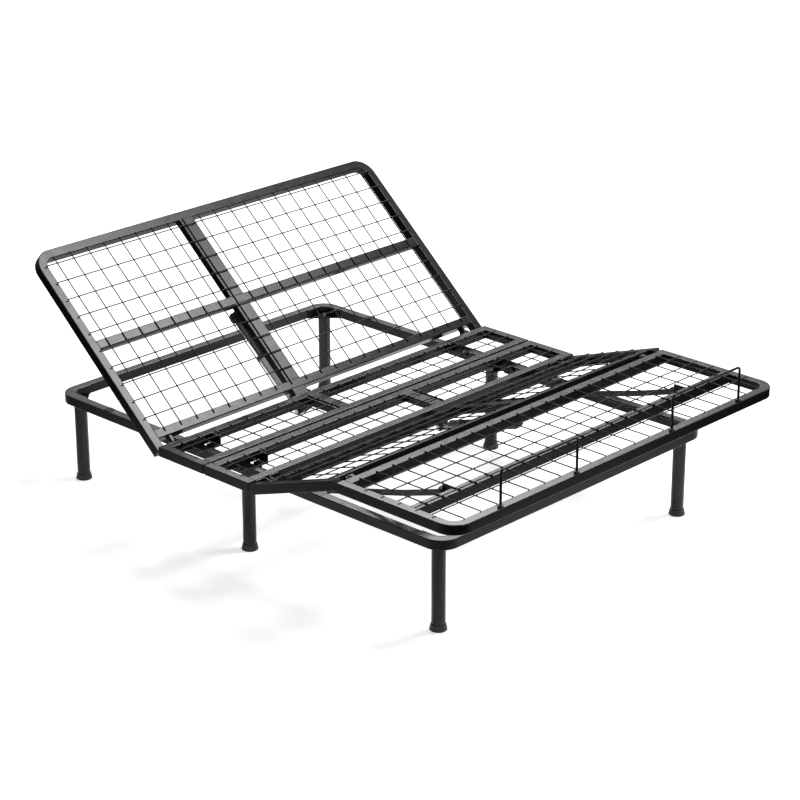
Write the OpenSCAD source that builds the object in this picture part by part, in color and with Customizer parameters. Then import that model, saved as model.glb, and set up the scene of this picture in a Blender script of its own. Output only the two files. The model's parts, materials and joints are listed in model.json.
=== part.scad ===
// Adjustable bed base, queen size, in millimetres: X across the bed, +Y to the head, Z up.
// A split perimeter base on six legs carries two fixed seat frames, a head section that tips
// up, and a thigh and foot section that fold up at the knee. Every body is drawn in its own
// pose, and the origin is on the floor under the middle of the whole base.

/* [Pose] */
// Angle of the head section above level, in degrees
head_angle = 41.2; // [0:0.1:60]
// Angle of the thigh section above level, in degrees
thigh_angle = 18.8; // [0:0.1:30]

/* [Deck] */
// Width of the mattress deck
deck_w = 1510; // [1480:1:1540]
// Height of the deck's top above the floor when it is flat
deck_h = 345; // [320:1:400]
// Outer size of the square frame tube
tube = 32; // [30:1:34]
// Wall thickness of every tube
wall = 1.5; // [1.2:0.1:2]
// Outer radius of the tube's own corners
tube_round = 3; // [2:0.5:4]
// Outer radius of a bent frame corner, seen from above
bend_r = 65; // [55:1:80]
// Width of the flat spine tube under the middle of the deck
spine_w = 59; // [50:1:64]
// Height of the spine tube
spine_h = 25.5; // [22:0.5:28]

/* [Sections] */
// Head section, from its hinge line to its tip
head_len = 753.5; // [700:0.5:780]
// Place of the head section's middle rail, from the hinge line
head_mid = 370; // [350:1:390]
// Depth of the seat frame on the head half
seat_head_len = 201.9; // [190:0.1:210]
// Depth of the seat frame on the foot half
seat_foot_len = 192.5; // [185:0.1:200]
// Gap between the two seat frames
seat_gap = 8; // [4:1:12]
// Thigh section, from its hinge line to the knee line
thigh_len = 352; // [330:1:370]
// Foot section, from the knee line to its tip
foot_len = 485.7; // [470:0.1:500]
// Place of the foot section's cross rail, from the knee line
foot_mid = 285; // [270:1:300]

/* [Hinges] */
// Hinge line to the face of the head seat rail
head_reach = 26.3; // [25:0.1:30]
// Hinge line to the face of the foot seat rail
thigh_reach = 21.7; // [20:0.1:25]
// Knee line to the face of the foot section's first rail
knee_reach = 22.1; // [20:0.1:25]
// Hinge pin diameter
pin_d = 10; // [8:1:12]
// Play between a turning eye and its pin, on the radius
pin_play = 0.05; // [0.03:0.01:0.1]
// Outer radius of a hinge eye
eye_r = 11; // [10:0.5:11.5]

/* [Base] */
// Width of the perimeter base
base_w = 1240; // [1200:1:1260]
// Base length from the deck split to the head end
base_head_len = 869.4; // [850:0.1:890]
// Base length from the deck split to the foot end
base_foot_len = 864.6; // [850:0.1:880]
// Height of the pads between the base and the seat frames
pad_h = 2; // [1.5:0.5:4]
// Gap between the two halves of the perimeter tube
split_gap = 12; // [8:1:16]

/* [Legs] */
// Leg tube diameter
leg_d = 42.6; // [38:0.1:44]
// Diameter of the glide under a leg
glide_d = 54; // [50:1:60]
// Height of the glide
glide_h = 20; // [16:1:24]

/* [Mesh] */
// Diameter of the deck wires
wire_d = 3.8; // [3:0.1:5]
// Spacing of the wires that run along the bed
wire_pitch = 68.63; // [65:0.01:69]
// Spacing of the wires that run across the bed
cross_pitch = 66.3; // [60:0.1:70]

/* [Actuators] */
// Diameter of an actuator's outer tube
act_d = 40; // [38:1:42]
// Diameter of an actuator's rod
rod_d = 30; // [26:1:32]
// Diameter of an actuator's pivot pins
act_pin_d = 10; // [8:1:12]

/* [Retainers] */
// Diameter of the mattress retainer rod
bar_d = 8; // [6:0.5:10]
// Width of one retainer between the middles of its posts
bar_w = 333; // [300:1:360]
// Distance from the side of the deck to a retainer's near post
bar_inset = 199; // [180:1:230]
// Height of a retainer above the deck
bar_h = 117; // [80:1:140]

/* [Hidden] */
$fn = 48;
// Levels of the deck and base
z_mid = deck_h - tube/2;              // middle of the deck tubes when flat
base_top = deck_h - tube - pad_h;     // top of the perimeter base
base_low = base_top - tube;           // underside of the perimeter base
base_mid = base_top - tube/2;
plate = 4;                            // thickness of brackets and gussets
rail_x = deck_w/2 - tube/2;           // middle of a deck side rail
inner_x = deck_w/2 - tube;            // inner face of a deck side rail
base_x = base_w/2 - tube/2;           // middle of a base side rail
base_in = base_w/2 - tube;            // inner face of a base side rail
// Places along the bed
foot_end = seat_foot_len + seat_gap/2 + thigh_reach + thigh_len*cos(thigh_angle) + foot_len;
y_split = round(10*(foot_end - base_head_len)/2)/10;   // to a tenth of a millimetre
y_seat_head = y_split + seat_gap/2;              // foot side of the head seat frame
y_seat_foot = y_split - seat_gap/2;              // head side of the foot seat frame
y_head_hinge = y_seat_head + seat_head_len + head_reach;
y_thigh_hinge = y_seat_foot - seat_foot_len - thigh_reach;
y_knee = y_thigh_hinge - thigh_len*cos(thigh_angle);
z_knee = z_mid + thigh_len*sin(thigh_angle);
y_base_head = y_split + base_head_len;
y_base_foot = y_split - base_foot_len;
y_base_gap = y_split - 20;            // head side of the gap in the base tube
seat_bolt = tube + 18;                // from a seat rail's head side to its bracket's bolt
y_seat_bolt_head = y_seat_head + seat_head_len - seat_bolt;
y_seat_bolt_foot = y_seat_foot - seat_bolt;      // this bolt also holds the splice plate
y_splice_head = y_base_gap + 10;
bolt_hole = 4.2;                      // radius of the holes for the base bolts
// Rails of the moving sections, measured from their hinge lines
end_rail = 22;                        // face of the first rail of the head and thigh sections
head_over = 20;                       // side rails run past the head hinge line
thigh_over = 13;                      // side rails run past both ends of the thigh
knee_rail = thigh_len - thigh_over - tube;       // head side of the thigh's last rail
weld = 0.5;                           // a butted tube's lap into the wall that it meets
// Flat spine tubes, flush with the deck's top
head_spine_x = -120.5;
foot_spine_x = 114;
foot_spine_w = spine_w - 7;
spine_z = tube/2 - spine_h/2;
spine_low = tube/2 - spine_h;         // underside of a spine, from the tubes' middle
stub_len = 12;                        // the head spine runs past its hinge line
// Mesh
wires = 2*floor((inner_x - 20)/wire_pitch) + 1;  // wires along the bed
wire_lap = 10;                        // wire lying on a rail at each end
wire_gap = 0.02;                      // under a wire, from the rail or wire below it
layer = wire_d + wire_gap;            // height between the two layers of wire
wire_z = tube/2 + wire_d/2 + wire_gap;
seat_row = 62;                        // first cross wire, from a seat frame's foot side
seat_lap = 3;                         // the seat wires stop at the edges of their rails
head_row = 99;                        // first cross wire, from each section's hinge line
thigh_row = 73;
foot_row = 113.5;
// Hinges
gap = 0.3;                            // between parts that move past each other
press = 0.02;                         // between parts that are fitted together
ear_t = 8;                            // thickness of a turning hinge ear
flange_t = 1;                         // flange of a hinge bush
bush_d = 14;
cheek_in = ear_t/2 + flange_t + gap;  // hinge middle to the inner face of a cheek
hinge_x = rail_x - 63;                // side hinges, from the middle of the bed
wing = 36;                            // bracket's wing along the rail's face
// Head actuator, measured from the head hinge line
act_tongue = 20;                      // width of an actuator's rear tongue
rod_tongue = 16;                      // width of a rod's end tongue
act_head_a = [-2.7, -53];             // lower pivot, fixed
act_head_b = [352, -49];              // upper pivot, in the head section
head_neck = 104;                      // slim rear end
head_tube_end = 217;
head_rod_len = 242;
// Thigh actuator, measured from the thigh hinge line toward the foot
act_thigh_a = [-33.7, -63];
act_thigh_b = [280, -60];
thigh_neck = 45;
thigh_tube_end = 190;
thigh_rod_len = 258;
// Room around the pins that close each linkage
head_slack = 6;
thigh_slack = 2.8;
arm_slack = 5.8;
// Link arms, measured from the thigh hinge line and the knee line toward the foot
arm_x = base_in - 43;                 // plane of each link arm
arm_t = 6;
arm_w = 18;
arm_eye = 14;
arm_drop = 3;                         // lower pivot, below the middle of the base tube
arm_a = [101.3, base_mid - arm_drop - z_mid];    // lower pivot, fixed
arm_b = [239.1, -13.4];               // upper pivot, in the foot section
arm_bend = [335, 12];                 // bend from the lower pivot when the deck is flat
link_plate_x = arm_x - arm_t/2 - 0.8 - plate;    // inner face of the link brackets
link_reach = 34;                      // from a lower pivot to its bracket's cross plate
link_foot = 40;                       // length of the bracket's foot on the base rail
// Mattress retainers
socket_d = 14;
post_in = 10;                         // a post's middle from the foot edge
bar_x = deck_w/2 - bar_inset - bar_w/2;          // middle of a retainer
retainer_posts = [-bar_x - bar_w/2, -bar_x + bar_w/2, bar_x - bar_w/2, bar_x + bar_w/2];
// Legs, from the middle of the bed
leg_in_head = 55.1;                   // from the base's head end to a leg's middle
leg_in_foot = 63.2;                   // from its foot end
leg_in_split = 4.7;                   // from the deck split
leg_x = base_in - leg_d/2;
leg_head_y = y_base_head - leg_in_head;
leg_mid_y = y_split + leg_in_split;
leg_foot_y = y_base_foot + leg_in_foot;
stud_d = 8;                           // threaded stud in the top of a leg
cup_floor = 5;                        // a leg stands this high in its glide
foot_pad_in = 204;                    // from a base rail to the pad under the foot rail

steel = "#2b2d30";
black = "#151617";
bright = "#b9bcc0";

// ---- Shared shapes ----

// A section's own frame: Y runs along the section away from its hinge line
module in_head() {
    translate([0, y_head_hinge, z_mid]) rotate([head_angle, 0, 0]) children();
}
module in_thigh() {
    translate([0, y_thigh_hinge, z_mid]) rotate([-thigh_angle, 0, 0])
        mirror([0, 1, 0]) children();
}
module in_foot() {
    translate([0, y_knee, z_knee]) mirror([0, 1, 0]) children();
}
// The fixed frame, seen from the head or thigh hinge line in the same way
module at_head() {
    translate([0, y_head_hinge, z_mid]) children();
}
module at_thigh() {
    translate([0, y_thigh_hinge, z_mid]) mirror([0, 1, 0]) children();
}
module sides() {
    children();
    mirror([1, 0, 0]) children();
}

// Rounded rectangle about the origin
module rounded(w, h, r) {
    square([w - 2*r, h], center = true);
    square([w, h - 2*r], center = true);
    for (sx = [-1, 1], sy = [-1, 1])
        translate([sx*(w/2 - r), sy*(h/2 - r)]) circle(r);
}

module tube_face(w = tube, h = tube) {
    difference() {
        rounded(w, h, tube_round);
        rounded(w - 2*wall, h - 2*wall, tube_round - wall);
    }
}

module tube_y(x, y0, y1, z = 0, w = tube, h = tube) {
    translate([x, y0, z]) rotate([-90, 0, 0]) linear_extrude(y1 - y0) tube_face(w, h);
}

module tube_x(y, x0, x1, z = 0) {
    translate([x0, y, z]) rotate([90, 0, 90]) linear_extrude(x1 - x0) tube_face();
}

// A rail across the bed, butted between two side rails
module cross_rail(y) {
    tube_x(y + tube/2, -inner_x - weld, inner_x + weld);
}

// U of bent tube, open at y0 and closed by a rail whose outer face is at y1
module u_tube(w, y0, y1) {
    r = bend_r - tube/2;
    sides() {
        tube_y(w/2 - tube/2, y0, y1 - bend_r);
        translate([w/2 - bend_r, y1 - bend_r, 0])
            rotate_extrude(angle = 90) translate([r, 0]) tube_face();
    }
    tube_x(y1 - tube/2, -(w/2 - bend_r), w/2 - bend_r);
}

// Plug in the end of a tube that runs along the bed, its face at y0
module plug(x, y0, into, deep = 12) {
    in_w = tube - 2*wall - 2*press;
    translate([x, y0, 0]) rotate([-90*into, 0, 0])
        linear_extrude(deep) rounded(in_w, in_w, tube_round - wall);
}

// Cylinder along X between two places
module rod_x(x0, x1, r, sides = $fn) {
    translate([x0, 0, 0]) rotate([0, 90, 0]) cylinder(h = x1 - x0, r = r, $fn = sides);
}

// Plate in the YZ plane from the X place x0, thickness t, drawn as (Y, Z)
module plate_x(x0, t) {
    translate([x0, 0, 0]) rotate([90, 0, 90]) linear_extrude(t) children();
}

// Strap between two round ends, drawn flat, its straight sides a little inside the ends
module strap(a, b, ra, rb) {
    n = [a[1] - b[1], b[0] - a[0]]/norm(b - a);
    inset = 0.15;
    side_a = n*(ra - inset);
    side_b = n*(rb - inset);
    translate(a) circle(ra);
    translate(b) circle(rb);
    polygon([a + side_a, b + side_b, b - side_b, a - side_a]);
}

// Bolt along X with its nut, gripping from x0 to x1
module bolt_x(x0, x1, d = pin_d) {
    rod_x(x0 - gap, x1 + 0.9*d, d/2);
    rod_x(x0 - 0.5*d, x0, 0.8*d);
    difference() {
        union() {
            rod_x(x1, x1 + 1.4, 0.86*d);
            rod_x(x1 + 1.4, x1 + 0.8*d, 0.85*d, 6);
        }
        rod_x(x1 - 1, x1 + d, d/2 + press);
    }
}

// Pair of angle brackets on a rail's face at y = -reach, for a pin on the hinge line
module hinge_bracket(reach, half) {
    for (m = [0, 1]) mirror([m, 0, 0]) {
        difference() {
            plate_x(half, plate) {
                translate([-reach, -eye_r]) square([reach, 2*eye_r]);
                circle(eye_r);
            }
            rod_x(half - 1, half + plate + 1, pin_d/2 + press);
        }
        translate([half + plate, -reach, -14]) cube([wing, plate, 28]);
    }
}

// Ear on a rail's face at y = reach, turning about the hinge line
module hinge_ear(reach) {
    difference() {
        plate_x(-ear_t/2, ear_t) {
            translate([0, -eye_r]) square([reach + weld, 2*eye_r]);
            circle(eye_r);
        }
        rod_x(-ear_t, ear_t, bush_d/2 + press);
    }
}

// The two flanged bushes of one ear
module hinge_bush() {
    for (m = [0, 1]) mirror([m, 0, 0]) difference() {
        union() {
            rod_x(0.05, ear_t/2, bush_d/2);
            rod_x(ear_t/2, ear_t/2 + flange_t, eye_r - 1);
        }
        rod_x(-1, ear_t, pin_d/2 + pin_play);
    }
}

// Wire mesh: wires along the bed from y0 to y1, and cross wires at the given rows on top
module mesh(y0, y1, rows, lap = wire_lap) {
    half = inner_x + lap;
    for (i = [0:wires - 1])
        translate([(i - (wires - 1)/2)*wire_pitch, y0, wire_z])
            rotate([-90, 0, 0]) cylinder(h = y1 - y0, d = wire_d, $fn = 16);
    for (y = rows) translate([0, y, wire_z + layer]) rod_x(-half, half, wire_d/2, 16);
}

// ---- Perimeter base ----

module base_head_half() color(steel) {
    translate([0, 0, base_mid]) difference() {
        u_tube(base_w, y_base_gap, y_base_head);
        for (y = [y_splice_head, y_seat_bolt_head])
            sides() translate([0, y, 0]) rod_x(base_in - 1, base_in + 3, bolt_hole);
    }
}

module base_foot_half() color(steel) {
    y0 = y_base_gap - split_gap;
    translate([0, 0, base_mid]) difference() {
        rotate([0, 0, 180]) u_tube(base_w, -y0, -y_base_foot);
        sides() translate([0, y_seat_bolt_foot, 0])
            rod_x(base_in - 1, base_in + 3, bolt_hole);
    }
}

// Three-cornered gusset in a corner at the origin, flanged along the base tube
module gusset(leg_at) {
    arm = 80;
    r = bend_r - tube;
    face = r - 0.2;
    lap = 1;                          // the plate's edge is this far inside its flanges
    difference() {
        linear_extrude(plate)
            polygon(concat([[arm - lap, 0.2 + lap], [0.2 + lap, arm - lap]],
                [for (a = [180:7.5:270]) [r, r] + (face - lap)*[cos(a), sin(a)]]));
        translate([leg_at[0], leg_at[1], -1]) cylinder(h = plate + 2, d = stud_d + 1);
    }
    translate([r, 0.2, 0]) cube([arm - r, plate, tube - 1]);
    translate([0.2, r, 0]) cube([plate, arm - r, tube - 1]);
    translate([r, r, 0]) rotate([0, 0, 180])
        rotate_extrude(angle = 90) translate([face - plate, 0]) square([plate, tube - 1]);
}

// Round-ended shelf and upright over a middle leg
module leg_shelf() {
    half = leg_d/2 - 1.3;
    difference() {
        translate([0, leg_mid_y, base_low]) linear_extrude(plate) {
            translate([leg_x, 0]) circle(d = leg_d - 0.4);
            translate([leg_x, -half]) square([base_in - 0.2 - leg_x, 2*half]);
        }
        translate([leg_x, leg_mid_y, base_low - 1]) cylinder(h = plate + 2, d = stud_d + 1);
    }
    translate([base_in - 0.2 - plate, leg_mid_y, base_low]) cube([plate, half, tube - 1]);
}

module leg_brackets() color(black) {
    sides() {
        translate([-base_in, y_base_head - tube, base_low]) mirror([0, 1, 0])
            gusset([base_in - leg_x, y_base_head - tube - leg_head_y]);
        translate([-base_in, y_base_foot + tube, base_low])
            gusset([base_in - leg_x, leg_foot_y - y_base_foot - tube]);
        leg_shelf();
    }
}

module splice_plates() color(black) {
    sides() translate([0, 0, base_mid]) difference() {
        plate_x(base_in - 0.1 - plate, plate)
            strap([y_splice_head, 0], [y_seat_bolt_foot, 0], 11, 11);
        for (y = [y_splice_head, y_seat_bolt_foot]) translate([0, y, 0])
            rod_x(base_in - plate - 1, base_in + 1, bolt_hole);
    }
}

// Round-headed bolt through a plate into a rail's wall, its head toward -X
module wall_bolt(x0) {
    rod_x(x0, x0 + 14, 4);
    rod_x(x0 - 4, x0, 7);
}

module base_bolts() color(bright) {
    x0 = base_in - plate - 0.15;
    sides() {
        translate([0, y_splice_head, base_mid]) wall_bolt(x0);
        translate([0, y_seat_bolt_foot, base_mid]) wall_bolt(x0 - plate - 0.05);
        translate([0, y_seat_bolt_head, base_mid]) wall_bolt(x0);
    }
}

module base_tube_plugs() color(black) {
    sides() translate([0, 0, base_mid]) {
        plug(base_x, y_base_gap, 1, 5);
        plug(base_x, y_base_gap - split_gap, -1, 5);
    }
}

// ---- Legs ----

// Tube leg with a closed top, standing in its glide
module leg(x, y) {
    low = cup_floor + press;
    color(steel) translate([x, y, 0]) difference() {
        translate([0, 0, low]) cylinder(h = base_low - low, d = leg_d);
        translate([0, 0, low - 1]) cylinder(h = base_low - low - 3, d = leg_d - 2*wall);
        translate([0, 0, low + 1]) cylinder(h = base_low, d = stud_d + 0.1);
    }
}
module leg_head_left() { leg(-leg_x, leg_head_y); }
module leg_head_right() { leg(leg_x, leg_head_y); }
module leg_middle_left() { leg(-leg_x, leg_mid_y); }
module leg_middle_right() { leg(leg_x, leg_mid_y); }
module leg_foot_left() { leg(-leg_x, leg_foot_y); }
module leg_foot_right() { leg(leg_x, leg_foot_y); }

module at_legs() {
    for (x = [-leg_x, leg_x], y = [leg_head_y, leg_mid_y, leg_foot_y])
        translate([x, y, 0]) children();
}

// Flared foot with a cup around the leg and a spigot inside it
module leg_glides() color(black) {
    r = leg_d/2 + press;
    top = r + 2.2;
    spigot = leg_d/2 - wall - press;
    at_legs() rotate_extrude() polygon([[0, 0], [glide_d/2 - 2, 0], [glide_d/2, 2],
        [glide_d/2 - 0.8, 7], [top + 0.6, glide_h - 4], [top, glide_h], [r, glide_h],
        [r, cup_floor], [spigot, cup_floor], [spigot, 22], [spigot - 2, 22], [spigot - 2, 4], [0, 4]]);
}

// Threaded stud, washer and nut that hold a leg to its bracket
module leg_studs() color(bright) {
    at_legs() translate([0, 0, base_low]) {
        translate([0, 0, -20]) cylinder(h = 32, d = stud_d);
        translate([0, 0, plate]) cylinder(h = 1.6, d = 2*stud_d);
        translate([0, 0, plate + 1.6]) cylinder(h = 5, r = 0.8*stud_d, $fn = 6);
    }
}

// ---- Seat frames ----

// Rubber pads on top of the base: full height under the seats, lower under moving rails
module deck_pads() color(black) {
    lift = pad_h - gap;
    head_y = y_head_hinge + head_mid + tube/2;
    sides() translate([base_x, 0, base_top]) {
        for (y = [y_seat_head + tube/2, y_seat_head + seat_head_len - tube/2,
                  y_seat_foot - tube/2, y_seat_foot - seat_foot_len + tube/2])
            translate([-13, y - 13, 0]) cube([26, 26, pad_h]);
        translate([-13, head_y - 13, 0]) cube([26, 26, lift]);
        translate([-foot_pad_in, y_base_foot + 1, 0]) cube([40, 13, lift]);
    }
}

// Rectangular frame from y0 to y1 with a flat spine tube
module seat_frame(y0, y1, spine_x, w) {
    translate([0, 0, z_mid]) {
        sides() tube_y(rail_x, y0, y1);
        cross_rail(y0);
        cross_rail(y1 - tube);
        tube_y(spine_x, y0 + tube - weld, y1 - tube + weld, spine_z, w, spine_h);
    }
}
module seat_frame_head() color(steel)
    seat_frame(y_seat_head, y_seat_head + seat_head_len, head_spine_x, spine_w);
module seat_frame_foot() color(steel)
    seat_frame(y_seat_foot - seat_foot_len, y_seat_foot, foot_spine_x, foot_spine_w);

module seat_mesh(y0, len) color(steel) {
    translate([0, y0, z_mid])
        mesh(tube - seat_lap, len - tube + seat_lap, [seat_row, seat_row + cross_pitch],
            seat_lap);
}
module seat_mesh_head() seat_mesh(y_seat_head, seat_head_len);
module seat_mesh_foot() seat_mesh(y_seat_foot - seat_foot_len, seat_foot_len);

module seat_tube_plugs() color(black) sides() translate([0, 0, z_mid]) {
    plug(rail_x, y_seat_head, 1);
    plug(rail_x, y_seat_head + seat_head_len, -1);
    plug(rail_x, y_seat_foot - seat_foot_len, 1);
    plug(rail_x, y_seat_foot, -1);
}

// Stepped bracket from a seat rail's foot-side wall at y down to the base
module seat_bracket(y, x1) {
    depth = 38;
    difference() {
        translate([x1 - plate, y - depth, base_low + 3]) cube([plate, depth - 3, tube]);
        translate([0, y + tube - seat_bolt, base_mid])
            rod_x(x1 - plate - 1, x1 + 1, bolt_hole);
    }
    translate([x1 - 30, y - depth, base_top]) cube([30, depth - 3, plate]);
    translate([x1 - 30, y - depth, base_top]) cube([plate, depth, tube]);
    translate([x1 - 54, y - plate, z_mid - 14]) cube([27, plate, 28]);
}

module seat_brackets() color(black) sides() {
    seat_bracket(y_seat_head + seat_head_len - tube, base_in - 0.1);
    seat_bracket(y_seat_foot - tube, base_in - 0.15 - plate);
}

// ---- Fixed hinge brackets, clevises and pins ----

module hinge_brackets() color(black) {
    at_head() {
        sides() translate([hinge_x, 0, 0]) hinge_bracket(head_reach, cheek_in);
        translate([head_spine_x, 0, 0]) hinge_bracket(head_reach, spine_w/2 + 1);
    }
    at_thigh() sides() translate([hinge_x, 0, 0]) hinge_bracket(thigh_reach, cheek_in);
}

module hinge_pins() color(bright) {
    out = cheek_in + plate;
    mid = spine_w/2 + 1 + plate;
    at_head() {
        sides() translate([hinge_x, 0, 0]) bolt_x(-out, out);
        translate([head_spine_x, 0, 0]) bolt_x(-mid, mid);
    }
    at_thigh() sides() translate([hinge_x, 0, 0]) bolt_x(-out, out);
}

// U bracket under a seat rail, its two cheeks holding an actuator's rear tongue
module clevis(reach, pin) {
    root = [-reach - tube/2, -tube/2];
    half = act_tongue/2 + gap;
    sides() difference() {
        plate_x(half, plate) strap(root, pin, 15, 13);
        translate([half - 1, root[0] - 30, -tube/2]) cube([plate + 2, 60, 30]);
        translate([0, pin[0], pin[1]]) rod_x(half - 1, half + plate + 1, act_pin_d/2 + press);
    }
    translate([-half - plate, root[0] - 16, root[1] - plate]) cube([2*(half + plate), 32, plate]);
}
module head_actuator_clevis() color(black)
    at_head() translate([head_spine_x, 0, 0]) clevis(head_reach, act_head_a);
module thigh_actuator_clevis() color(black)
    at_thigh() translate([foot_spine_x, 0, 0]) clevis(thigh_reach, act_thigh_a);

// Bracket off the base rail that carries a link arm's lower pivot
module link_base_brackets() color(black) sides() at_thigh() {
    a = arm_a;
    low = base_low + 2 - z_mid;
    high = tube - 5;
    back = a[0] - link_reach;
    difference() {
        plate_x(link_plate_x, plate) {
            translate([back, a[1] - arm_eye]) square([link_reach, 2*arm_eye]);
            translate(a) circle(arm_eye);
        }
        translate([0, a[0], a[1]]) rod_x(link_plate_x - 1, arm_x, pin_d/2 + press);
    }
    translate([link_plate_x, back, low]) cube([base_in - 0.1 - link_plate_x, plate, high]);
    translate([base_in - 0.1 - plate, back + plate - link_foot, low])
        cube([plate, link_foot, high]);
}

module pivot_pins() color(bright) {
    out = act_tongue/2 + gap + plate;
    at_head() translate([head_spine_x, act_head_a[0], act_head_a[1]]) bolt_x(-out, out);
    at_thigh() {
        translate([foot_spine_x, act_thigh_a[0], act_thigh_a[1]]) bolt_x(-out, out);
        sides() translate([0, arm_a[0], arm_a[1]]) mirror([1, 0, 0])
            bolt_x(-arm_x - arm_t/2 - gap, -link_plate_x);
    }
}

// ---- Control box ----

// Box of the motor controller, hung by its lid under the foot side of the head seat frame
box_at = [60, y_seat_head + tube + 1, z_mid - tube/2 - press];   // near top corner
box_size = [150, 54, 34];
box_wall = 2;
lid = 4;
inlet = [27, 19];

module control_box() color(black) translate(box_at) {
    translate([0, 0, -box_size[2]]) difference() {
        cube(box_size);
        translate([box_wall, box_wall, box_wall])
            cube([box_size[0] - 2*box_wall, box_size[1] - 2*box_wall,
                box_size[2] - box_wall - lid]);
        translate([box_size[0] - 1, box_size[1]/2, box_size[2]/2])
            cube([4, inlet[0] + 0.1, inlet[1] + 0.1], center = true);
    }
    translate([10, -tube + 6, -lid]) cube([box_size[0] - 20, tube - 6 + 1, lid]);
}

// Three-pin inlet, pressed into the end of the control box
module power_inlet() color(black) {
    translate(box_at + [box_size[0], box_size[1]/2, -box_size[2]/2])
        rotate([0, -90, 0]) rotate([0, 0, 90]) {
            difference() {
                union() {
                    translate([0, 0, -1.5]) linear_extrude(1.4)
                        rounded(inlet[0] + 4, inlet[1] + 4, 3);
                    translate([0, 0, -0.5]) linear_extrude(14.5) square(inlet, center = true);
                }
                translate([0, 0, -2]) linear_extrude(12)
                    square([inlet[0] - 3, inlet[1] - 3], center = true);
            }
            for (x = [-7, 0, 7]) translate([x - 1, x == 0 ? 0 : -3, 3]) cube([2, 4, 8]);
        }
}

// ---- Head section ----

module head_frame() color(steel) in_head() {
    difference() {
        union() {
            u_tube(deck_w, -head_over, head_len);
            cross_rail(end_rail);
            cross_rail(head_mid);
            tube_y(head_spine_x, -stub_len, end_rail + weld, spine_z, spine_w, spine_h);
            translate([head_spine_x, 0, 0]) rod_x(-spine_w/2 + 1, spine_w/2 - 1, 8.5);
        }
        translate([head_spine_x, 0, 0]) rod_x(-spine_w, spine_w, pin_d/2 + pin_play);
    }
    tube_y(head_spine_x, end_rail + tube - weld, head_mid + weld, spine_z, spine_w, spine_h);
    tube_y(head_spine_x, head_mid + tube - weld, head_len - tube + weld, spine_z,
        spine_w, spine_h);
    sides() translate([hinge_x, 0, 0]) hinge_ear(end_rail);
}

module head_mesh() color(steel) in_head()
    mesh(end_rail + tube/2, head_len - tube + 3,
        [for (i = [0:9]) head_row + i*cross_pitch]);

module head_hinge_bushes() color("ivory") in_head()
    sides() translate([hinge_x, 0, 0]) hinge_bush();

module head_tube_plugs() color(black) in_head() sides() plug(rail_x, -head_over, 1);

// Two cheeks under a spine, with a roomy hole for the pin of the rod's end
module rod_bracket(root, pin, slack) {
    half = rod_tongue/2 + gap;
    sides() difference() {
        plate_x(half, plate) strap([root, spine_low - 8], pin, 22, slack + 10);
        translate([half - 1, root - 40, spine_low]) cube([plate + 2, 80, 40]);
        translate([0, pin[0], pin[1]])
            rod_x(half - 1, half + plate + 1, act_pin_d/2 + slack);
    }
    translate([-half - plate, root - 22, spine_low - 3]) cube([2*(half + plate), 44, 3]);
}
module head_actuator_bracket() color(black) in_head()
    translate([head_spine_x, 0, 0]) rod_bracket(345, act_head_b, head_slack);

// ---- Thigh section ----

module thigh_frame() color(steel) in_thigh() {
    sides() tube_y(rail_x, -thigh_over, thigh_len + thigh_over);
    cross_rail(end_rail);
    cross_rail(knee_rail);
    tube_y(foot_spine_x, end_rail + tube - weld, knee_rail + weld, spine_z,
        foot_spine_w, spine_h);
    sides() translate([hinge_x, 0, 0]) hinge_ear(end_rail);
}

module thigh_mesh() color(steel) in_thigh()
    mesh(end_rail + tube/2, knee_rail + wire_lap,
        [for (i = [0:3]) thigh_row + i*cross_pitch]);

module thigh_hinge_bushes() color("ivory") in_thigh()
    sides() translate([hinge_x, 0, 0]) hinge_bush();

module thigh_tube_plugs() color(black) in_thigh() sides() {
    plug(rail_x, -thigh_over, 1);
    plug(rail_x, thigh_len + thigh_over, -1);
}

module thigh_actuator_bracket() color(black) in_thigh()
    translate([foot_spine_x, 0, 0]) rod_bracket(282, act_thigh_b, thigh_slack);

module knee_hinge_brackets() color(black) in_thigh()
    sides() translate([hinge_x, thigh_len, 0]) hinge_bracket(thigh_over, cheek_in);

module knee_hinge_pins() color(bright) in_thigh()
    sides() translate([hinge_x, thigh_len, 0]) bolt_x(-cheek_in - plate, cheek_in + plate);

// ---- Foot section ----

module foot_frame() color(steel) in_foot() difference() {
    union() {
        u_tube(deck_w, knee_reach, foot_len);
        cross_rail(knee_reach);
        cross_rail(foot_mid);
        sides() translate([hinge_x, 0, 0]) hinge_ear(knee_reach);
    }
    for (x = retainer_posts) translate([x, foot_len - post_in, 0])
        cylinder(h = tube, d = socket_d + 2*press);
}

module foot_mesh() color(steel) in_foot()
    mesh(knee_reach + tube - 6, foot_len - tube + 3,
        [for (i = [0:4]) foot_row + i*cross_pitch]);

module knee_hinge_bushes() color("ivory") in_foot()
    sides() translate([hinge_x, 0, 0]) hinge_bush();

module foot_tube_plugs() color(black) in_foot() sides() plug(rail_x, knee_reach, 1);

// Plates off the foot section's cross rail that hold the link arms' upper ends
module link_foot_brackets() color(black) in_foot() sides() difference() {
    plate_x(link_plate_x, plate) {
        translate(arm_b) circle(arm_slack + 11);
        translate([arm_b[0], -tube/2 + 0.5]) square([foot_mid - 0.1 - arm_b[0], tube - 3]);
    }
    translate([0, arm_b[0], arm_b[1]])
        rod_x(link_plate_x - 1, arm_x, pin_d/2 + arm_slack);
}

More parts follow.
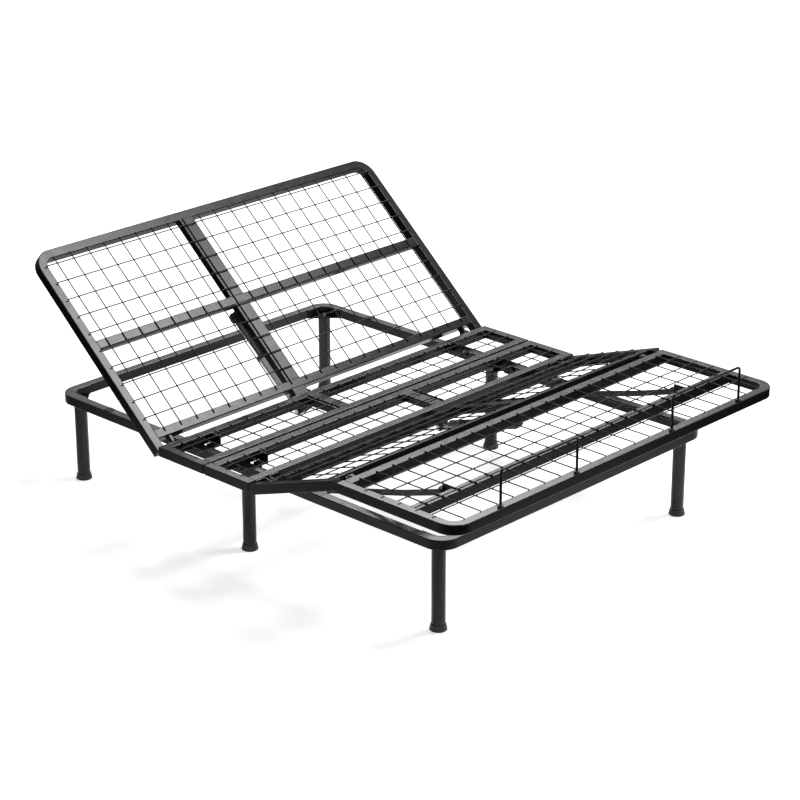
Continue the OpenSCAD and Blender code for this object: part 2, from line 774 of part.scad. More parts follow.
// U of bent rod standing in two sockets
module retainer(x) {
    top = tube/2 + bar_h - bar_d/2;
    r = 12;
    color(steel) in_foot() translate([x, foot_len - post_in, 0]) {
        sides() {
            translate([bar_w/2, 0, -8]) cylinder(h = top - r + 8, d = bar_d);
            translate([bar_w/2 - r, 0, top - r]) rotate([90, 0, 0])
                rotate_extrude(angle = 90) translate([r, 0]) circle(d = bar_d);
        }
        translate([0, 0, top]) rod_x(-bar_w/2 + r, bar_w/2 - r, bar_d/2);
    }
}
module retainer_left() retainer(-bar_x);
module retainer_right() retainer(bar_x);

module retainer_sockets() color(black) in_foot()
    for (x = retainer_posts) translate([x, foot_len - post_in, 0]) difference() {
        union() {
            translate([0, 0, -10]) cylinder(h = 10 + tube/2, d = socket_d);
            translate([0, 0, tube/2]) cylinder(h = 7, d = socket_d + 4);
        }
        translate([0, 0, -8]) cylinder(h = 60, d = bar_d + 2*pin_play);
    }

// ---- Link arms ----

// Bent flat bar in its plane, from its lower eye, with the pin at its upper end
module link_arm() {
    flat_end = arm_b + [thigh_len, 0];
    b = flat_end - arm_a;
    now = arm_b + [thigh_len*cos(thigh_angle), thigh_len*sin(thigh_angle)] - arm_a;
    turn = atan2(now[1], now[0]) - atan2(b[1], b[0]);
    color(steel) at_thigh() translate([0, arm_a[0], arm_a[1]]) rotate([turn, 0, 0]) {
        difference() {
            plate_x(arm_x - arm_t/2, arm_t) {
                strap([0, 0], arm_bend, arm_w/2, arm_w/2);
                strap(arm_bend, b, arm_w/2, arm_w/2);
                circle(arm_eye);
                translate(b) circle(arm_eye);
            }
            rod_x(arm_x - arm_t, arm_x + arm_t, pin_d/2 + pin_play);
        }
        translate([0, b[0], b[1]]) {
            cover = arm_slack + 11.2;
            rod_x(link_plate_x - gap, arm_x + arm_t/2, pin_d/2);
            rod_x(arm_x + arm_t/2, arm_x + arm_t/2 + 5, 8);
            rod_x(link_plate_x - gap - 2, link_plate_x - gap, cover);
            rod_x(link_plate_x - gap - 10, link_plate_x - gap - 2, 8.7, 6);
        }
    }
}
module link_arm_right() link_arm();
module link_arm_left() mirror([1, 0, 0]) link_arm();

// ---- Actuators ----

// An actuator's own frame: Y runs from its lower pivot to its upper one
function turned(p, a) = [p[0]*cos(a) - p[1]*sin(a), p[0]*sin(a) + p[1]*cos(a)];
head_line = turned(act_head_b, head_angle) - act_head_a;
thigh_line = turned(act_thigh_b, thigh_angle) - act_thigh_a;

module along_head() {
    at_head() translate([head_spine_x, act_head_a[0], act_head_a[1]])
        rotate([atan2(head_line[1], head_line[0]), 0, 0]) children();
}
module along_thigh() {
    at_thigh() translate([foot_spine_x, act_thigh_a[0], act_thigh_a[1]])
        rotate([atan2(thigh_line[1], thigh_line[0]), 0, 0]) children();
}
module along_y(y, h, r) {
    translate([0, y, 0]) rotate([-90, 0, 0]) cylinder(h = h, r = r);
}

// Rear tongue and outer tube
module actuator_tube(neck, end) {
    difference() {
        union() {
            plate_x(-act_tongue/2, act_tongue) {
                circle(11.5);
                translate([0, -act_tongue/2]) square([neck + 4, act_tongue]);
            }
            along_y(neck, end - neck, act_d/2);
        }
        rod_x(-act_tongue, act_tongue, act_pin_d/2 + pin_play);
        along_y(neck + 6, end, act_d/2 - wall);
    }
}

// Front cap that guides the rod
module actuator_collar(end) {
    difference() {
        union() {
            along_y(end + 0.05, 14, act_d/2 + 3);
            along_y(end - 16, 17, act_d/2 - wall - press);
        }
        along_y(end - 20, 40, rod_d/2 + pin_play);
    }
}

// Rod with its guide ring inside the tube and a flat end tongue
module actuator_rod(reach, len) {
    difference() {
        union() {
            along_y(reach - len, len - 30, rod_d/2);
            along_y(reach - len, 8, act_d/2 - wall - pin_play);
            plate_x(-rod_tongue/2, rod_tongue) translate([reach, 0]) {
                circle(13);
                translate([-32, -13]) square([32, 26]);
            }
        }
        translate([0, reach, 0]) rod_x(-rod_d, rod_d, act_pin_d/2 + press);
        along_y(reach - len - 1, len - 50, rod_d/2 - 3);
    }
}

// Pin through the rod's end, its broad washers outside the bracket's cheeks
module rod_pin(reach, slack) {
    out = rod_tongue/2 + 2*gap + plate;
    translate([0, reach, 0]) {
        rod_x(-out - 1, out + 1, act_pin_d/2);
        for (m = [0, 1]) mirror([m, 0, 0]) rod_x(out, out + 2, act_pin_d/2 + 2*slack + 1);
        rod_x(-out - 7, -out - 2, 8);
        rod_x(out + 2, out + 10, 8.7, 6);
    }
}

module head_actuator_tube() color(bright) along_head()
    actuator_tube(head_neck, head_tube_end);
module head_actuator_collar() color(black) along_head() actuator_collar(head_tube_end);
module head_actuator_rod() color(bright) along_head()
    actuator_rod(norm(head_line), head_rod_len);
module head_rod_pin() color(bright) along_head() rod_pin(norm(head_line), head_slack);

module thigh_actuator_tube() color(bright) along_thigh()
    actuator_tube(thigh_neck, thigh_tube_end);
module thigh_actuator_collar() color(black) along_thigh() actuator_collar(thigh_tube_end);
module thigh_actuator_rod() color(bright) along_thigh()
    actuator_rod(norm(thigh_line), thigh_rod_len);
module thigh_rod_pin() color(bright) along_thigh() rod_pin(norm(thigh_line), thigh_slack);

base_head_half();
base_foot_half();
leg_brackets();
splice_plates();
base_bolts();
base_tube_plugs();
leg_head_left();
leg_head_right();
leg_middle_left();
leg_middle_right();
leg_foot_left();
leg_foot_right();
leg_glides();
leg_studs();
deck_pads();
seat_frame_head();
seat_frame_foot();
seat_mesh_head();
seat_mesh_foot();
seat_tube_plugs();
seat_brackets();
hinge_brackets();
hinge_pins();
head_actuator_clevis();
thigh_actuator_clevis();
link_base_brackets();
pivot_pins();
control_box();
power_inlet();
head_frame();
head_mesh();
head_hinge_bushes();
head_actuator_bracket();
head_tube_plugs();
thigh_frame();
thigh_mesh();
thigh_hinge_bushes();
thigh_actuator_bracket();
knee_hinge_brackets();
knee_hinge_pins();
thigh_tube_plugs();
foot_frame();
foot_mesh();
knee_hinge_bushes();
link_foot_brackets();
retainer_left();
retainer_right();
retainer_sockets();
foot_tube_plugs();
link_arm_left();
link_arm_right();
head_actuator_tube();
head_actuator_collar();
head_actuator_rod();
head_rod_pin();
thigh_actuator_tube();
thigh_actuator_collar();
thigh_actuator_rod();
thigh_rod_pin();
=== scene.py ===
# %% [markdown]
# # An adjustable bed base
#
# The steel frame of this bed comes from a CAD model: tubes, wires, hinges, legs and actuators
# are already true in shape and size. This lesson sets up a plain white studio around them,
# gives every part a finish that behaves like the real one, and adds the welds that hold the
# tubes and wires together.

# %% Load the frame
import json
import math

import bpy
from mathutils import Matrix, Vector


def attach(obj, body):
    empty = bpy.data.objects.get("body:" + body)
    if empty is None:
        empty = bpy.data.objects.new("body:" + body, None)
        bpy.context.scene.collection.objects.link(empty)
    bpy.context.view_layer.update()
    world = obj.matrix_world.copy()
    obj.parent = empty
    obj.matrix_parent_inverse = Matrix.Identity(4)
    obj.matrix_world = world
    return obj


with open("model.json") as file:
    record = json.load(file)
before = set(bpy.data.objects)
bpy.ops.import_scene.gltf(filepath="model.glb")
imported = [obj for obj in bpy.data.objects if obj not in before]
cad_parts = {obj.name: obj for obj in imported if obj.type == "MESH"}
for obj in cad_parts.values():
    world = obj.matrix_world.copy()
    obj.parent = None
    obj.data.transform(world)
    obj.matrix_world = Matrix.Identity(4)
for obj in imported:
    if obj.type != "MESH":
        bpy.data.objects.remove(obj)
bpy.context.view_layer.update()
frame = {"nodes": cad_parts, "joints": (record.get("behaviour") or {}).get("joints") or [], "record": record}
nodes = frame["nodes"]

# %% [markdown]
# ## The camera
#
# A long lens from a corner of the room, a little above the bed, keeps the tubes almost
# parallel and still shows which end is nearer. The turn, tilt and roll are applied one after
# the other and Blender works out the Euler angles, which mix a roll into all three numbers.

# %% Camera
LENS_MM = 113.18
SENSOR_MM = 36.0
CAMERA_PLACE = Vector((-5.4178, -5.2005, 3.3560))
TURN, TILT, ROLL = (math.radians(a) for a in (-46.29, 68.27, -0.06))

bpy.ops.object.camera_add(location=CAMERA_PLACE)
camera = bpy.context.object
camera.name = "studio_camera"
camera.data.lens = LENS_MM
camera.data.sensor_width = SENSOR_MM
camera.rotation_euler = (
    Matrix.Rotation(TURN, 3, "Z") @ Matrix.Rotation(TILT, 3, "X") @ Matrix.Rotation(ROLL, 3, "Z")
).to_euler()
bpy.context.scene.camera = camera
print("camera at", tuple(round(v, 3) for v in camera.location))

# %% [markdown]
# ## The studio
#
# Black glossy steel shows little of its own colour. What the eye reads as its shape is what
# it mirrors, so the lamps are placed where their reflections are wanted: one softbox beside
# the bed lights up the raised head section, and one behind the head draws a sheen along
# everything that lies flat.
#
# The floor is a big white plane. In reflections its colour is painted as a bright pool of light that fades
# to dark outwards, which is what grades the upright faces of the tubes from light to dark.

# %% Helpers for shader nodes
def new_material(name):
    material = bpy.data.materials.new(name)
    material.use_nodes = True
    tree = material.node_tree
    tree.nodes.clear()
    return material, tree.nodes, tree.links


def add(tree_nodes, kind, **inputs):
    """A shader node with its named sockets set to plain values."""
    node = tree_nodes.new(kind)
    for socket, value in inputs.items():
        node.inputs[socket.replace("_", " ")].default_value = value
    return node


# %% White seen by the camera and by reflections
def seen_directly(tree_nodes, links):
    """1 where a camera, mirror or glass ray arrives, and 0 where light is only gathered."""
    path = tree_nodes.new("ShaderNodeLightPath")
    total = path.outputs["Is Camera Ray"]
    for name in ("Is Glossy Ray", "Is Transmission Ray"):
        either = tree_nodes.new("ShaderNodeMath")
        either.operation = "MAXIMUM"
        links.new(total, either.inputs[0])
        links.new(path.outputs[name], either.inputs[1])
        total = either.outputs[0]
    return total


# %% World
WORLD_LIGHT = 0.14          # what the world gives as light; it is seen and mirrored at 1

world = bpy.data.worlds.new("studio_world")
bpy.context.scene.world = world
world.use_nodes = True
w_nodes, w_links = world.node_tree.nodes, world.node_tree.links
w_nodes.clear()
seen = seen_directly(w_nodes, w_links)
strength = add(w_nodes, "ShaderNodeMapRange", To_Min=WORLD_LIGHT, To_Max=1.0)
white = add(w_nodes, "ShaderNodeBackground", Color=(1, 1, 1, 1))
world_out = w_nodes.new("ShaderNodeOutputWorld")
w_links.new(seen, strength.inputs["Value"])
w_links.new(strength.outputs[0], white.inputs["Strength"])
w_links.new(white.outputs[0], world_out.inputs["Surface"])
print("world lights the bed at", WORLD_LIGHT)

# %% Floor
FLOOR_HALF = 14.0
FLOOR_WHITE = (0.78, 0.78, 0.78, 1)
FLOOR_LIFT = 0.61          # light of its own that whitens the floor around the soft shadows
FAR_LIFT = 1.0             # and far from the lamps
FAR = (2.5, 7.0)           # where that change takes place, in metres
POOL = (1.0, 2.0)          # where the painted pool of light in reflections starts to fade and ends, in metres
POOL_BRIGHT, POOL_DIM = 1.75, 0.02     # painted reflection: the floor's colour in a reflection, brightened inside the pool and darkened past it

bpy.ops.object.select_all(action="DESELECT")
bpy.ops.mesh.primitive_plane_add(size=2 * FLOOR_HALF, location=(0, 0, 0))
floor = bpy.context.object
floor.name = "studio_floor"
floor_paint, f_nodes, f_links = new_material("floor_white")
path = f_nodes.new("ShaderNodeLightPath")
lift = add(f_nodes, "ShaderNodeMapRange", To_Min=0.0)
place = f_nodes.new("ShaderNodeTexCoord")
reach = f_nodes.new("ShaderNodeVectorMath")
reach.operation = "LENGTH"
pool = add(f_nodes, "ShaderNodeMapRange", From_Min=POOL[0], From_Max=POOL[1],
           To_Min=POOL_BRIGHT, To_Max=POOL_DIM)
whiten = add(f_nodes, "ShaderNodeMapRange", From_Min=FAR[0], From_Max=FAR[1],
             To_Min=FLOOR_LIFT, To_Max=FAR_LIFT)
# Painted reflection: for mirror rays only, the floor's white is multiplied by the pool, bright near the bed
# and nearly black past it.
painted_pool_mix = f_nodes.new("ShaderNodeMixRGB")
painted_pool_mix.blend_type = "MULTIPLY"
painted_pool_mix.inputs["Color1"].default_value = FLOOR_WHITE
matt = f_nodes.new("ShaderNodeBsdfDiffuse")
glow = add(f_nodes, "ShaderNodeEmission", Color=(1, 1, 1, 1))
both = f_nodes.new("ShaderNodeAddShader")
floor_out = f_nodes.new("ShaderNodeOutputMaterial")
f_links.new(path.outputs["Is Camera Ray"], lift.inputs["Value"])
f_links.new(place.outputs["Object"], reach.inputs[0])
f_links.new(reach.outputs["Value"], pool.inputs["Value"])
f_links.new(reach.outputs["Value"], whiten.inputs["Value"])
f_links.new(whiten.outputs[0], lift.inputs["To Max"])
f_links.new(path.outputs["Is Glossy Ray"], painted_pool_mix.inputs["Fac"])
f_links.new(pool.outputs[0], painted_pool_mix.inputs["Color2"])
f_links.new(painted_pool_mix.outputs["Color"], matt.inputs["Color"])
f_links.new(lift.outputs[0], glow.inputs["Strength"])
f_links.new(matt.outputs[0], both.inputs[0])
f_links.new(glow.outputs[0], both.inputs[1])
f_links.new(both.outputs[0], floor_out.inputs["Surface"])
floor.data.materials.append(floor_paint)
print("floor", 2 * FLOOR_HALF, "m wide")


# %% Softboxes
def softbox(name, place, aim, width, height, power):
    """A rectangular lamp at place that faces aim."""
    bpy.ops.object.light_add(type="AREA", location=place)
    lamp = bpy.context.object
    lamp.name = name
    lamp.data.shape = "RECTANGLE"
    lamp.data.size, lamp.data.size_y = width, height
    lamp.data.energy = power
    away = Vector(place) - Vector(aim)
    lamp.rotation_euler = away.to_track_quat("Z", "Y").to_euler()
    return lamp


side_lamp = softbox("side_softbox", place=(3.71, -1.94, 7.04), aim=(-0.2, 0.5, 0.5),
                    width=2.63, height=2.84, power=611)
rear_lamp = softbox("rear_softbox", place=(7.09, 6.34, 7.15), aim=(0.0, -0.6, 0.4),
                    width=4.35, height=3.25, power=618)
print("softboxes of", side_lamp.data.energy, "and", rear_lamp.data.energy, "W")

# %% [markdown]
# ## Finishes
#
# The tubes are powder coated. A powder coat flows out as it is baked and keeps a faint
# orange-peel ripple, so the shader is a near-black colour with a weak, sharp reflection over
# it, a shallow bump a few millimetres across and a roughness that wanders slowly along the
# tube. The same recipe with other numbers gives the zinc, the plastic and the rubber.

# %% A noise that reads object coordinates
NOISE_MIDDLE = (0.3, 0.7)              # nearly all of a noise's values lie between these


def pattern(tree_nodes, links, per_metre, detail=2.0):
    """Noise with about per_metre cells in a metre, fixed to the piece."""
    place = tree_nodes.new("ShaderNodeTexCoord")
    noise = add(tree_nodes, "ShaderNodeTexNoise", Scale=per_metre, Detail=detail)
    links.new(place.outputs["Object"], noise.inputs["Vector"])
    return noise.outputs["Fac"]


def span(tree_nodes, links, source, low, high):
    """Maps the middle of a noise onto low to high."""
    move = add(tree_nodes, "ShaderNodeMapRange", From_Min=NOISE_MIDDLE[0],
               From_Max=NOISE_MIDDLE[1], To_Min=low, To_Max=high)
    links.new(source, move.inputs["Value"])
    return move.outputs[0]


def two_tone(tree_nodes, links, source, dark, light):
    """A colour between dark and light."""
    ramp = tree_nodes.new("ShaderNodeValToRGB")
    for stop, position, colour in zip(ramp.color_ramp.elements, NOISE_MIDDLE, (dark, light)):
        stop.position = position
        stop.color = (*colour, 1)
    links.new(source, ramp.inputs["Fac"])
    return ramp.outputs["Color"]


# %% One recipe for every finish
ROUGH_PER_PATCH = 3.7                  # how much finer the roughness wanders than the colour


def finish(name, dark, light, rough, ripple, ripple_depth, edge=0.0006, patch=9.0, **sockets):
    """Colour from dark to light, roughness from rough[0] to rough[1], and a fine bump.

    ripple and patch count the cells of the bump and of the colour in a metre. ripple_depth and
    edge, the rounding that the light sees along edges, are in metres.
    """
    material, tree_nodes, links = new_material(name)
    surface = tree_nodes.new("ShaderNodeBsdfPrincipled")
    for socket, value in sockets.items():
        surface.inputs[socket.replace("_", " ")].default_value = value
    clouds = pattern(tree_nodes, links, patch, detail=4.0)
    links.new(two_tone(tree_nodes, links, clouds, dark, light), surface.inputs["Base Color"])
    worn = pattern(tree_nodes, links, patch * ROUGH_PER_PATCH, detail=3.0)
    links.new(span(tree_nodes, links, worn, *rough), surface.inputs["Roughness"])
    rounded = tree_nodes.new("ShaderNodeBevel")
    rounded.samples = 4
    rounded.inputs["Radius"].default_value = edge
    bump = add(tree_nodes, "ShaderNodeBump", Strength=1.0, Distance=ripple_depth)
    links.new(pattern(tree_nodes, links, ripple), bump.inputs["Height"])
    links.new(rounded.outputs[0], bump.inputs["Normal"])
    links.new(bump.outputs[0], surface.inputs["Normal"])
    out = tree_nodes.new("ShaderNodeOutputMaterial")
    links.new(surface.outputs[0], out.inputs["Surface"])
    return material


# %% The finishes
FINISHES = {
    "black_frame": finish(
        "powder_coat", dark=(0.005, 0.005, 0.0055), light=(0.008, 0.008, 0.0085),
        rough=(0.17, 0.23), ripple=420, ripple_depth=0.0000025, Specular_IOR_Level=0.155,
    ),
    "black_bracket": finish(
        "bracket_coat", dark=(0.004, 0.004, 0.0045), light=(0.007, 0.007, 0.0075),
        rough=(0.26, 0.36), ripple=520, ripple_depth=0.00002, Specular_IOR_Level=0.155,
    ),
    "zinc": finish(
        "zinc_plate", dark=(0.42, 0.43, 0.45), light=(0.58, 0.59, 0.60),
        rough=(0.24, 0.38), ripple=900, ripple_depth=0.00003, patch=60.0, Metallic=1.0,
    ),
    "actuator_grey": finish(
        "satin_anodised", dark=(0.30, 0.31, 0.33), light=(0.36, 0.37, 0.39),
        rough=(0.30, 0.40), ripple=1500, ripple_depth=0.00002, patch=30.0, Metallic=1.0,
    ),
    "rod_black": finish(
        "rod_gloss", dark=(0.014, 0.014, 0.016), light=(0.022, 0.022, 0.024),
        rough=(0.12, 0.2), ripple=300, ripple_depth=0.00002, Coat_Weight=0.8, Coat_Roughness=0.08,
        IOR=1.5,
    ),
    "black_plastic": finish(
        "moulded_nylon", dark=(0.011, 0.011, 0.012), light=(0.018, 0.018, 0.019),
        rough=(0.42, 0.55), ripple=1400, ripple_depth=0.00010, IOR=1.46,
    ),
    "pad_rubber": finish(
        "foam_rubber", dark=(0.012, 0.012, 0.012), light=(0.022, 0.022, 0.022),
        rough=(0.7, 0.85), ripple=800, ripple_depth=0.0003, IOR=1.4,
    ),
    "bush_nylon": finish(
        "natural_nylon", dark=(0.62, 0.60, 0.52), light=(0.72, 0.70, 0.62),
        rough=(0.35, 0.5), ripple=900, ripple_depth=0.00004, patch=80.0, IOR=1.5,
    ),
}
slot_of = {p["node"]: p["material_slot"] for p in frame["record"]["subparts"]}

# %% [markdown]
# Some pieces share the frame's powder coat but get copies of it with a lighter colour and a stronger
# reflection: painted sheen, standing in for the light that falls on them. The perimeter mirrors a little
# more than the deck, and the legs and link arms the most. The wires are drawn wire that takes a thinner,
# duller coat.

# %% Finishes of their own
# Painted sheen: a lighter, more mirroring copy of the frame's powder coat, so the base comes out lighter.
BASE_COAT_PAINTED_SHEEN = finish(
    "base_coat_painted_sheen", dark=(0.006, 0.006, 0.0065), light=(0.009, 0.009, 0.0095),
    rough=(0.17, 0.23), ripple=420, ripple_depth=0.0000025, Specular_IOR_Level=0.2,
)
# Painted sheen: lighter still and mirroring about twice as much, so the legs and link arms come out lighter.
LEG_COAT_PAINTED_SHEEN = finish(
    "leg_coat_painted_sheen", dark=(0.008, 0.008, 0.0085), light=(0.012, 0.012, 0.0125),
    rough=(0.20, 0.28), ripple=420, ripple_depth=0.000003, Specular_IOR_Level=0.34,
)
WIRE_COAT = finish(
    "wire_coat", dark=(0.010, 0.010, 0.0105), light=(0.015, 0.015, 0.0155),
    rough=(0.42, 0.55), ripple=700, ripple_depth=0.00001, edge=0.0003, Specular_IOR_Level=0.12,
)
COATED = {
    BASE_COAT_PAINTED_SHEEN: ("base_head_half", "base_foot_half"),
    LEG_COAT_PAINTED_SHEEN: (
        "leg_head_left", "leg_head_right", "leg_middle_left", "leg_middle_right",
        "leg_foot_left", "leg_foot_right", "link_arm_left", "link_arm_right",
    ),
    WIRE_COAT: ("head_mesh", "thigh_mesh", "foot_mesh", "seat_mesh_head", "seat_mesh_foot"),
}
own_finish = {name: material for material, names in COATED.items() for name in names}
print(len(own_finish), "nodes with a finish of their own")

# %% Dress the nodes
def coat(piece, material):
    """Gives a piece this one material."""
    piece.data.materials.clear()
    piece.data.materials.append(material)


for name, piece in nodes.items():
    coat(piece, own_finish.get(name, FINISHES[slot_of[name]]))
print("finished", len(nodes), "nodes in", len(FINISHES) + len(COATED), "finishes")

# %% [markdown]
# ## Weld beads
#
# The rails, cross tubes and spines of the real frame are joined by short beads in their inside
# corners. A robot lays such a bead as a row of overlapping drops, so one bead is drawn out ring
# by ring, each drop a wide ring between two narrow ones. It is modelled once for each length and
# copied to every corner, and the copies on one section are joined and ride with it.

# %% Joint lines and turns of the sections
JOINT = {j["name"]: j for j in frame["joints"]}
DECK_MIDDLE = JOINT["head_lift"]["pos_m"][2]          # height of the flat tubes' middle
HEAD_TURN = math.radians(-JOINT["head_lift"]["range_deg"][0])
THIGH_TURN = math.radians(-JOINT["thigh_lift"]["range_deg"][0])


def own_frame(origin, turn=0.0, towards_foot=False):
    """From a section's own frame, with Y along it from its hinge line, to the bed's frame."""
    flip = Matrix.Scale(-1, 4, (0, 1, 0)) if towards_foot else Matrix.Identity(4)
    return Matrix.Translation(origin) @ Matrix.Rotation(turn, 4, "X") @ flip


HEAD = own_frame(JOINT["head_lift"]["pos_m"], HEAD_TURN)
THIGH = own_frame(JOINT["thigh_lift"]["pos_m"], -THIGH_TURN, towards_foot=True)
FOOT = own_frame(JOINT["knee_fold"]["pos_m"], 0.0, towards_foot=True)
FLAT = own_frame((0, 0, DECK_MIDDLE))
print("raised by", [round(math.degrees(turn), 1) for turn in (HEAD_TURN, THIGH_TURN)], "degrees")

# %% Sizes of the tubes
TUBE = 0.032
INNER_X = 0.723                        # inner face of the deck's side rails
SPINE_DROP = 0.0255                    # a spine's depth under the deck's top
SPINE_MIDDLE = 0.013                   # and the middle of that depth
HEAD_SPINE = (-0.1205, 0.059)          # a spine's middle across the bed, and its width
FOOT_SPINE = (0.114, 0.052)
print("tubes", TUBE, "and spines", HEAD_SPINE[1], FOOT_SPINE[1], "m wide")

# %% Model one bead
BEAD = 0.0021                          # about how far a bead reaches out of its corner
OFF_WALL = 0.3 * BEAD                  # how far its middle stands off each wall
NECK = 0.6 * BEAD                      # half its width between two drops
NECKING = 0.78                         # that, as a share of half a drop's width
DROP = 0.0026                          # length of one drop
WIDENING = 0.4                         # share of that length in which the drop widens


def model_bead(length):
    """A bead along Z with its middle at the origin."""
    drops = round(length / DROP)
    step = length / drops
    bpy.ops.object.select_all(action="DESELECT")
    bpy.ops.mesh.primitive_circle_add(
        vertices=8, radius=NECK, fill_type="NGON", location=(0, 0, -length / 2)
    )
    bead = bpy.context.object
    bpy.ops.object.mode_set(mode="EDIT")
    bpy.ops.mesh.select_all(action="SELECT")
    height = -length / 2
    for _ in range(drops):
        for part, grow in ((WIDENING, 1.0 / NECKING), (1 - WIDENING, NECKING)):
            height += part * step
            bpy.ops.mesh.extrude_region_move(TRANSFORM_OT_translate={"value": (0, 0, part * step)})
            bpy.ops.transform.resize(value=(grow, grow, 1), center_override=(0, 0, height))
    bpy.ops.mesh.select_all(action="SELECT")
    bpy.ops.mesh.normals_make_consistent(inside=False)
    bpy.ops.object.mode_set(mode="OBJECT")
    bpy.ops.object.transform_apply()
    bpy.ops.object.shade_smooth_by_angle(angle=math.radians(60))
    return bead


# %% Copy beads to their corners
def lay_beads(name, body, frame_of, seams):
    """One piece of beads: each seam is (middle, direction, length) in a section's own frame."""
    made = {}
    copies = []
    for middle, way, length in seams:
        if length not in made:
            made[length] = model_bead(length)
        copy = made[length].copy()
        copy.data = made[length].data.copy()
        bpy.context.collection.objects.link(copy)
        place = frame_of @ Vector(middle)
        turn = (frame_of.to_3x3() @ Vector(way)).to_track_quat("Z", "Y")
        copy.data.transform(Matrix.Translation(place) @ turn.to_matrix().to_4x4())
        copies.append(copy)
    bpy.ops.object.select_all(action="DESELECT")
    for piece in copies:
        piece.select_set(True)
    bpy.context.view_layer.objects.active = copies[0]
    bpy.ops.object.join()
    welds = bpy.context.object
    welds.name = name
    for pattern_bead in made.values():
        bpy.data.objects.remove(pattern_bead)
    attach(welds, body)
    print(name, len(seams), "beads", len(welds.data.polygons), "faces")
    return welds


UPRIGHT, ACROSS = (0, 0, 1), (1, 0, 0)
TUBE_BEAD, SPINE_BEAD, UNDER_BEAD = 0.027, 0.022, 0.05      # each a little shorter than its seam


def corner_seams(*walls):
    """Upright beads where cross tubes with these walls meet the two side rails."""
    inset = INNER_X - OFF_WALL
    return [((side * inset, y + out * OFF_WALL, 0), UPRIGHT, TUBE_BEAD)
            for y, out in walls for side in (-1, 1)]


def spine_seams(spine, *ends):
    """Beads up both sides of a spine's end and one along under it."""
    middle, width = spine
    seams = []
    for y, out in ends:
        y += out * OFF_WALL
        for side in (-1, 1):
            x = middle + side * (width / 2 + OFF_WALL)
            seams.append(((x, y, TUBE / 2 - SPINE_MIDDLE), UPRIGHT, SPINE_BEAD))
        seams.append(((middle, y, TUBE / 2 - SPINE_DROP - OFF_WALL), ACROSS, UNDER_BEAD))
    return seams


# %% [markdown]
# Each cross tube has a wall towards its hinge and one away from it. The number after a wall's
# place says to which side of the wall the bead lies: 1 is away from the hinge line.

# %% Lay the beads
HEAD_RAIL, HEAD_MIDDLE, HEAD_END = 0.022, 0.370, 0.7215      # first faces of the cross tubes
THIGH_RAIL, KNEE_RAIL = 0.022, 0.307
FOOT_RAIL, FOOT_MIDDLE = 0.0221, 0.285


def both_walls(rail):
    """The two walls of a cross tube whose first face is at rail."""
    return (rail, -1), (rail + TUBE, 1)


head_welds = lay_beads(
    "head_welds", "head_section", HEAD,
    corner_seams(*both_walls(HEAD_RAIL), *both_walls(HEAD_MIDDLE))
    + spine_seams(HEAD_SPINE, *both_walls(HEAD_RAIL), *both_walls(HEAD_MIDDLE), (HEAD_END, -1)),
)
thigh_welds = lay_beads(
    "thigh_welds", "thigh_section", THIGH,
    corner_seams(*both_walls(THIGH_RAIL), *both_walls(KNEE_RAIL))
    + spine_seams(FOOT_SPINE, (THIGH_RAIL + TUBE, 1), (KNEE_RAIL, -1)),
)
foot_welds = lay_beads(
    "foot_welds", "foot_section", FOOT,
    corner_seams((FOOT_RAIL + TUBE, 1), *both_walls(FOOT_MIDDLE)),
)

# %% Beads of the fixed frames and the corner gussets
SEAT_WALLS = (0.1199, 1), (0.2578, -1), (-0.0806, 1), (0.0479, -1)
BASE_INNER_X, BASE_DROP = 0.588, -0.034           # the perimeter's inner face and middle
BASE_ENDS = (0.9213, -1), (-0.7487, 1)            # its ends' inner faces, and which way is in
GUSSET_ARM = 0.0802                               # from the corner to the end of a gusset
gusset_seams = []
for corner_y, inward in BASE_ENDS:
    for side in (-1, 1):
        along_side = (side * (BASE_INNER_X - OFF_WALL), corner_y + inward * GUSSET_ARM)
        along_end = (side * (BASE_INNER_X - GUSSET_ARM), corner_y + inward * OFF_WALL)
        for x, y in (along_side, along_end):
            gusset_seams.append(((x, y, BASE_DROP), UPRIGHT, TUBE_BEAD))
base_welds = lay_beads(
    "base_welds", "base", FLAT,
    corner_seams(*SEAT_WALLS) + spine_seams(HEAD_SPINE, *SEAT_WALLS[:2])
    + spine_seams(FOOT_SPINE, *SEAT_WALLS[2:]) + gusset_seams,
)

# %% [markdown]
# ## Spot welds of the wires
#
# Each wire mesh is pressed and heated where its wires cross, which squeezes a small collar of
# steel out between them. One collar is an eight-sided disc whose two faces are inset and drawn
# out a little. Two array modifiers lay it out over the rows and wires of a section.

# %% Model one collar
COLLAR_HIGH = 0.01983                  # where the two layers of wire meet, from the tubes' middle
COLLAR, COLLAR_DEEP = 0.0022, 0.0010   # radius, and depth of the disc before its faces are domed
DOME_IN, DOME_OUT = 0.0007, 0.0006     # how far those faces are inset and drawn out
WIRES, WIRE_PITCH, ROW_PITCH = 21, 0.06863, 0.0663            # wires in a row, and the spacings


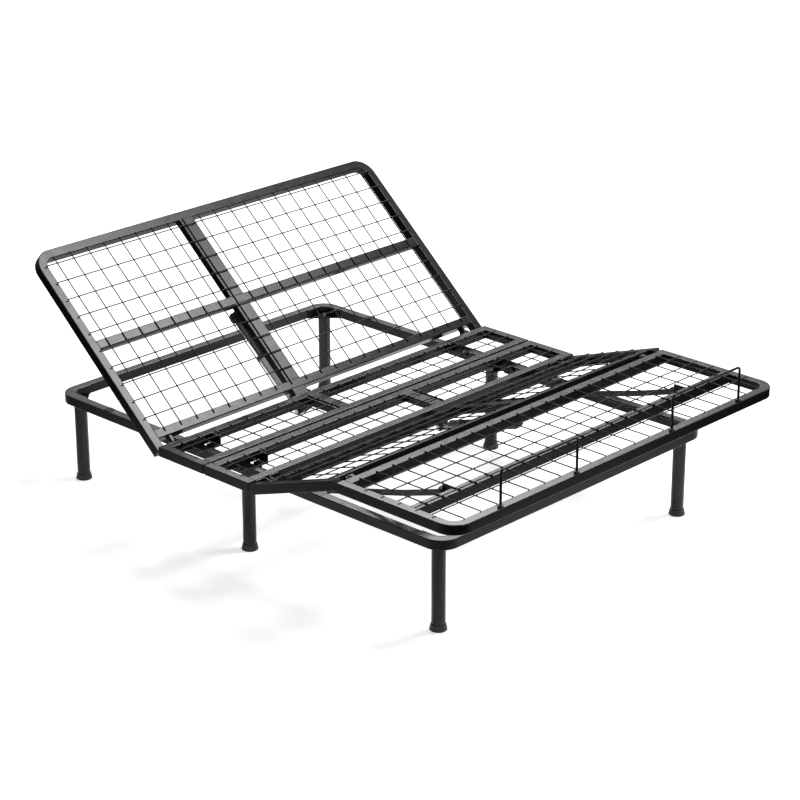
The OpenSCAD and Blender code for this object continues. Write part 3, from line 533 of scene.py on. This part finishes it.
def model_collar(place):
    """A domed collar at place, facing up."""
    bpy.ops.object.select_all(action="DESELECT")
    bpy.ops.mesh.primitive_cylinder_add(
        vertices=8, radius=COLLAR, depth=COLLAR_DEEP, location=place
    )
    collar = bpy.context.object
    bpy.ops.object.mode_set(mode="EDIT")
    bpy.ops.mesh.select_all(action="DESELECT")
    bpy.ops.object.mode_set(mode="OBJECT")
    for face in collar.data.polygons:
        face.select = abs(face.normal.z) > 0.9
    bpy.ops.object.mode_set(mode="EDIT")
    bpy.ops.mesh.inset(thickness=DOME_IN, depth=DOME_OUT)
    bpy.ops.mesh.select_all(action="SELECT")
    bpy.ops.mesh.normals_make_consistent(inside=False)
    bpy.ops.object.mode_set(mode="OBJECT")
    bpy.ops.object.transform_apply()
    bpy.ops.object.shade_smooth_by_angle(angle=math.radians(70))
    return collar


# %% Lay the collars out over a mesh
def lay_collars(name, body, fields):
    """One piece of collars: each field is (own frame, first row, number of rows)."""
    laid = []
    for frame_of, first_row, rows in fields:
        collar = model_collar((-(WIRES - 1) / 2 * WIRE_PITCH, first_row, COLLAR_HIGH))
        for count, step in ((WIRES, (WIRE_PITCH, 0, 0)), (rows, (0, ROW_PITCH, 0))):
            spread = collar.modifiers.new("spread", "ARRAY")
            spread.count = count
            spread.use_relative_offset = False
            spread.use_constant_offset = True
            spread.constant_offset_displace = step
            bpy.ops.object.modifier_apply(modifier=spread.name)
        collar.data.transform(frame_of)
        if frame_of.determinant() < 0:
            collar.data.flip_normals()
        laid.append(collar)
    bpy.ops.object.select_all(action="DESELECT")
    for collar in laid:
        collar.select_set(True)
    if len(laid) > 1:
        bpy.ops.object.join()
    spots = bpy.context.object
    spots.name = name
    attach(spots, body)
    print(name, len(spots.data.polygons), "faces")
    return spots


head_spots = lay_collars("head_wire_welds", "head_section", [(HEAD, 0.099, 10)])
thigh_spots = lay_collars("thigh_wire_welds", "thigh_section", [(THIGH, 0.073, 4)])
foot_spots = lay_collars("foot_wire_welds", "foot_section", [(FOOT, 0.1135, 5)])
seat_spots = lay_collars("seat_wire_welds", "base", [(FLAT, 0.1499, 2), (FLAT, -0.0506, 2)])

# %% Coat the welds with what they join
for welds in (head_welds, thigh_welds, foot_welds, base_welds):
    coat(welds, FINISHES["black_frame"])
for spots in (head_spots, thigh_spots, foot_spots, seat_spots):
    coat(spots, WIRE_COAT)
print("beads and collars coated")

# %% [markdown]
# ## The view
#
# The Standard view transform shows a colour about as it is written.

# %% View
bpy.context.scene.view_settings.view_transform = "Standard"
print("view transform", bpy.context.scene.view_settings.view_transform)
